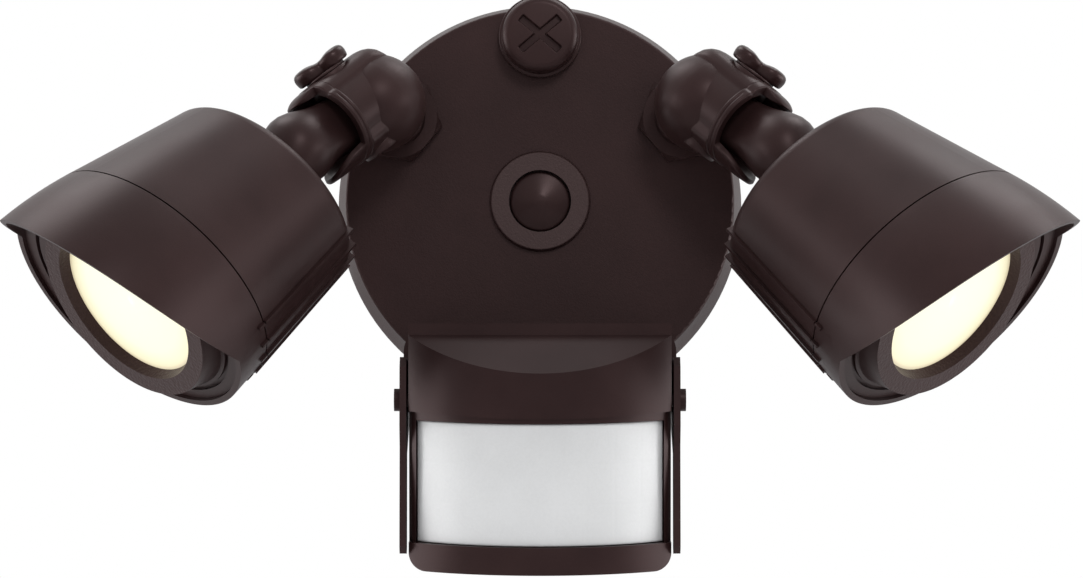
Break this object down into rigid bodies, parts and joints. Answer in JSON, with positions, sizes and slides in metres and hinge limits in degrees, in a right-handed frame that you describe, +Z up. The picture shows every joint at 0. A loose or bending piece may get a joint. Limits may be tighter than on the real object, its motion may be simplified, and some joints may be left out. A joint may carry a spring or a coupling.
{
  "type": "motion sensor security light",
  "caption": "Wall mounted outdoor security light in dark bronze: a round canopy carries hooded lamps on clamped swivel arms and a tilting motion sensor head with a white lens.",
  "frame": {"origin": "centre of the canopy on the wall plane", "axes": "+Y into the wall, +X to the right seen from the front, +Z up"},
  "size_m": [0.3138, 0.1426, 0.1812],
  "materials": {
    "bronze_powder_coat": "satin fine texture",
    "bronze_moulded_plastic": "satin",
    "bronze_textured_plastic": "textured",
    "black_rubber": "matte",
    "zinc_steel": "satin",
    "green_steel": "satin",
    "white_sensor_lens": "satin translucent",
    "warm_lit_lens": "frosted",
    "white_reflector": "gloss",
    "light_board": "satin",
    "circuit_board": "gloss",
    "bright_can": "satin",
    "clear_red_cell": "gloss",
    "cast_aluminium": "cast",
    "black_plastic": "satin"
  },
  "bodies": {
    "base": {"canopy_cover": "bronze_powder_coat", "wall_gasket": "black_rubber", "mounting_bar": "zinc_steel", "ground_screw": "green_steel", "centre_screw": "zinc_steel", "centre_cap": "bronze_powder_coat", "plug_washer": "black_rubber", "closure_plug": "bronze_powder_coat", "sensor_washer": "black_rubber", "sensor_locknut": "bronze_powder_coat", "right_arm_washer": "black_rubber", "right_arm_locknut": "bronze_powder_coat", "left_arm_washer": "black_rubber", "left_arm_locknut": "bronze_powder_coat"},
    "right_arm": {"right_elbow": "bronze_powder_coat", "right_clamp_nut": "zinc_steel"},
    "right_knob": {"right_wing_knob": "bronze_powder_coat", "right_clamp_screw": "zinc_steel"},
    "right_lamp": {"right_lamp_arm": "bronze_powder_coat", "right_lamp_housing": "bronze_powder_coat", "right_stub_nut": "zinc_steel", "right_lamp_hood": "bronze_powder_coat", "right_lamp_bezel": "bronze_textured_plastic", "right_lamp_lens": "warm_lit_lens", "right_lens_gasket": "black_rubber", "right_reflector": "white_reflector", "right_led_board": "light_board", "right_heat_sink": "cast_aluminium", "right_engine_screws": "zinc_steel"},
    "left_arm": {"left_elbow": "bronze_powder_coat", "left_clamp_nut": "zinc_steel"},
    "left_knob": {"left_wing_knob": "bronze_powder_coat", "left_clamp_screw": "zinc_steel"},
    "left_lamp": {"left_lamp_arm": "bronze_powder_coat", "left_lamp_housing": "bronze_powder_coat", "left_stub_nut": "zinc_steel", "left_lamp_hood": "bronze_powder_coat", "left_lamp_bezel": "bronze_textured_plastic", "left_lamp_lens": "warm_lit_lens", "left_lens_gasket": "black_rubber", "left_reflector": "white_reflector", "left_led_board": "light_board", "left_heat_sink": "cast_aluminium", "left_engine_screws": "zinc_steel"},
    "sensor_mount": {"sensor_yoke": "bronze_powder_coat", "sensor_pivot_screws": "zinc_steel"},
    "sensor_head": {"sensor_front_housing": "bronze_moulded_plastic", "sensor_rear_housing": "bronze_moulded_plastic", "sensor_lens": "white_sensor_lens", "sensor_board": "circuit_board", "pyro_sensor": "bright_can", "photocell": "clear_red_cell"},
    "time_dial": {"time_dial": "black_plastic"},
    "range_dial": {"range_dial": "black_plastic"}
  },
  "joints": [
    {"name": "right_arm_swivel", "type": "hinge", "parent": "base", "child": "right_arm", "pos_m": [0.0446, -0.0165, 0.02575], "axis": [0, -1, 0], "range_deg": [-12, 80]},
    {"name": "right_lamp_tilt", "type": "hinge", "parent": "right_arm", "child": "right_lamp", "pos_m": [0.05676, -0.04336, 0.0248], "axis": [0.5971, -0.1639, 0.7852], "range_deg": [-20, 20]},
    {"name": "right_knob_turn", "type": "hinge", "parent": "right_arm", "child": "right_knob", "pos_m": [0.05676, -0.04336, 0.0248], "axis": [0.5971, -0.1639, 0.7852], "continuous": true},
    {"name": "left_arm_swivel", "type": "hinge", "parent": "base", "child": "left_arm", "pos_m": [-0.0446, -0.0165, 0.02575], "axis": [0, 1, 0], "range_deg": [-12, 80]},
    {"name": "left_lamp_tilt", "type": "hinge", "parent": "left_arm", "child": "left_lamp", "pos_m": [-0.05676, -0.04336, 0.0248], "axis": [0.5971, 0.1639, -0.7852], "range_deg": [-20, 20]},
    {"name": "left_knob_turn", "type": "hinge", "parent": "left_arm", "child": "left_knob", "pos_m": [-0.05676, -0.04336, 0.0248], "axis": [0.5971, 0.1639, -0.7852], "continuous": true},
    {"name": "sensor_swivel", "type": "hinge", "parent": "base", "child": "sensor_mount", "pos_m": [0, -0.0165, -0.0515], "axis": [0, -1, 0], "range_deg": [-15, 15]},
    {"name": "sensor_tilt", "type": "hinge", "parent": "sensor_mount", "child": "sensor_head", "pos_m": [0, -0.052, -0.0637], "axis": [1, 0, 0], "range_deg": [-15, 10]},
    {"name": "time_dial_turn", "type": "hinge", "parent": "sensor_head", "child": "time_dial", "pos_m": [-0.011, -0.04185, -0.11353], "axis": [0, 0.1219, -0.9925], "range_deg": [0, 270]},
    {"name": "range_dial_turn", "type": "hinge", "parent": "sensor_head", "child": "range_dial", "pos_m": [0.011, -0.04185, -0.11353], "axis": [0, 0.1219, -0.9925], "range_deg": [0, 270]}
  ]
}
